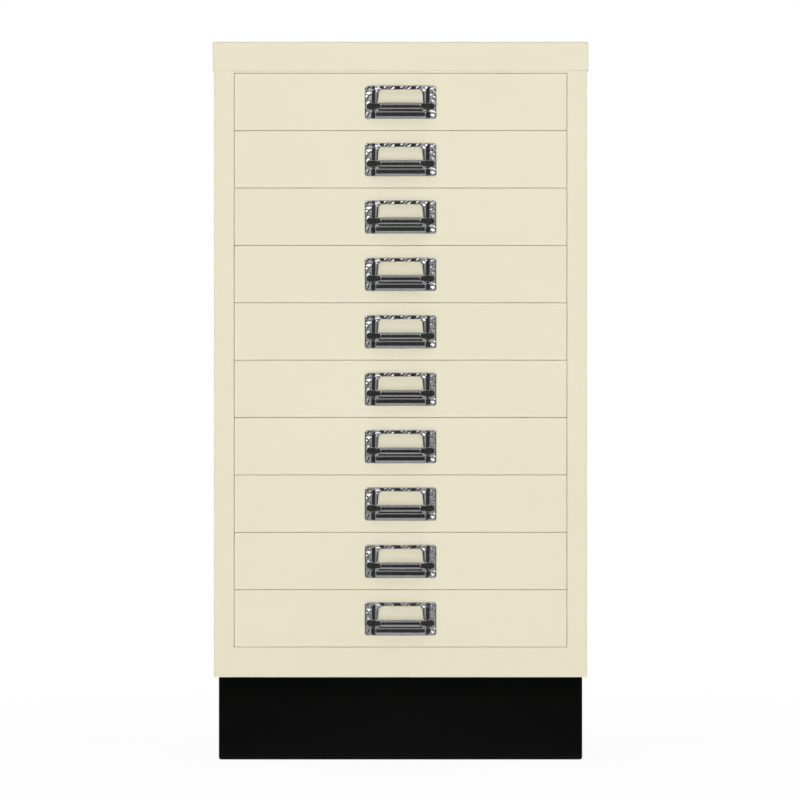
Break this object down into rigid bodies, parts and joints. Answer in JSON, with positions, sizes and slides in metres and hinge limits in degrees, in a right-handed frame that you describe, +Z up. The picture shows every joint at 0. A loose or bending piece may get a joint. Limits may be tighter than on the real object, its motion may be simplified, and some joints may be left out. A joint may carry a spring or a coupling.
{
  "type": "multi-drawer cabinet",
  "caption": "Narrow steel cabinet with a stack of equal shallow drawers that slide on channel runners, a proud lid, plated pulls with card windows, and a recessed plinth.",
  "frame": {"origin": "on the floor, under the middle of the whole box, the handles included", "axes": "+Z up, -Y out of the drawer fronts, +X to the right of a person who faces the drawers"},
  "size_m": [0.349, 0.4434, 0.67],
  "materials": {
    "cream_paint": "satin",
    "black_paint": "matte",
    "chrome_plate": "polished",
    "spring_steel": "satin",
    "zinc_plate": "satin"
  },
  "bodies": {
    "cabinet": {"left_side_panel": "cream_paint", "right_side_panel": "cream_paint", "left_runner_posts": "cream_paint", "right_runner_posts": "cream_paint", "left_runners": "cream_paint", "right_runners": "cream_paint", "back_panel": "cream_paint", "base_panel": "cream_paint", "top_cover": "cream_paint", "bottom_front_rail": "cream_paint", "top_front_rail": "cream_paint", "plinth_front": "black_paint", "plinth_back": "black_paint", "plinth_left_side": "black_paint", "plinth_right_side": "black_paint", "plinth_corner_brackets": "black_paint", "plinth_bolts": "zinc_plate", "plinth_nuts": "zinc_plate"},
    "drawer_01": {"drawer_01_tray": "cream_paint", "drawer_01_front": "cream_paint", "drawer_01_handle": "chrome_plate", "drawer_01_clips": "spring_steel"},
    "drawer_02": {"drawer_02_tray": "cream_paint", "drawer_02_front": "cream_paint", "drawer_02_handle": "chrome_plate", "drawer_02_clips": "spring_steel"},
    "drawer_03": {"drawer_03_tray": "cream_paint", "drawer_03_front": "cream_paint", "drawer_03_handle": "chrome_plate", "drawer_03_clips": "spring_steel"},
    "drawer_04": {"drawer_04_tray": "cream_paint", "drawer_04_front": "cream_paint", "drawer_04_handle": "chrome_plate", "drawer_04_clips": "spring_steel"},
    "drawer_05": {"drawer_05_tray": "cream_paint", "drawer_05_front": "cream_paint", "drawer_05_handle": "chrome_plate", "drawer_05_clips": "spring_steel"},
    "drawer_06": {"drawer_06_tray": "cream_paint", "drawer_06_front": "cream_paint", "drawer_06_handle": "chrome_plate", "drawer_06_clips": "spring_steel"},
    "drawer_07": {"drawer_07_tray": "cream_paint", "drawer_07_front": "cream_paint", "drawer_07_handle": "chrome_plate", "drawer_07_clips": "spring_steel"},
    "drawer_08": {"drawer_08_tray": "cream_paint", "drawer_08_front": "cream_paint", "drawer_08_handle": "chrome_plate", "drawer_08_clips": "spring_steel"},
    "drawer_09": {"drawer_09_tray": "cream_paint", "drawer_09_front": "cream_paint", "drawer_09_handle": "chrome_plate", "drawer_09_clips": "spring_steel"},
    "drawer_10": {"drawer_10_tray": "cream_paint", "drawer_10_front": "cream_paint", "drawer_10_handle": "chrome_plate", "drawer_10_clips": "spring_steel"}
  },
  "joints": [
    {"name": "drawer_01_slide", "type": "slide", "parent": "cabinet", "child": "drawer_01", "axis": [0, -1, 0], "range_m": [0, 0.31]},
    {"name": "drawer_02_slide", "type": "slide", "parent": "cabinet", "child": "drawer_02", "axis": [0, -1, 0], "range_m": [0, 0.31]},
    {"name": "drawer_03_slide", "type": "slide", "parent": "cabinet", "child": "drawer_03", "axis": [0, -1, 0], "range_m": [0, 0.31]},
    {"name": "drawer_04_slide", "type": "slide", "parent": "cabinet", "child": "drawer_04", "axis": [0, -1, 0], "range_m": [0, 0.31]},
    {"name": "drawer_05_slide", "type": "slide", "parent": "cabinet", "child": "drawer_05", "axis": [0, -1, 0], "range_m": [0, 0.31]},
    {"name": "drawer_06_slide", "type": "slide", "parent": "cabinet", "child": "drawer_06", "axis": [0, -1, 0], "range_m": [0, 0.31]},
    {"name": "drawer_07_slide", "type": "slide", "parent": "cabinet", "child": "drawer_07", "axis": [0, -1, 0], "range_m": [0, 0.31]},
    {"name": "drawer_08_slide", "type": "slide", "parent": "cabinet", "child": "drawer_08", "axis": [0, -1, 0], "range_m": [0, 0.31]},
    {"name": "drawer_09_slide", "type": "slide", "parent": "cabinet", "child": "drawer_09", "axis": [0, -1, 0], "range_m": [0, 0.31]},
    {"name": "drawer_10_slide", "type": "slide", "parent": "cabinet", "child": "drawer_10", "axis": [0, -1, 0], "range_m": [0, 0.31]}
  ]
}
